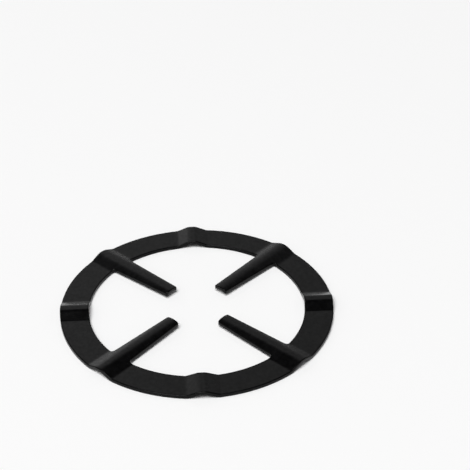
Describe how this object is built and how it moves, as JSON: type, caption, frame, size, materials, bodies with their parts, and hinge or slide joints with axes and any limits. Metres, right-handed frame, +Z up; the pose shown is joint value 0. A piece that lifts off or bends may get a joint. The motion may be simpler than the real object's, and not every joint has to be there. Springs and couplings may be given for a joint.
{
  "type": "gas hob reducer ring",
  "caption": "Flat pressed ring with raised ribs across its band and ridged fingers reaching inwards, laid on a gas hob's pan supports to carry a small pot.",
  "frame": {"origin": "centre of the ring, on the plane that the flat band rests on", "axes": "+Z up through the ring, +X and +Y each through the middle of a rib, with the fingers on the diagonals between them"},
  "size_m": [0.14, 0.14, 0.0043],
  "materials": {
    "enamelled_steel": "black vitreous enamel with a satin gloss, fired on pressed steel"
  },
  "bodies": {
    "root": {"reducer_ring": "enamelled_steel"}
  },
  "joints": []
}
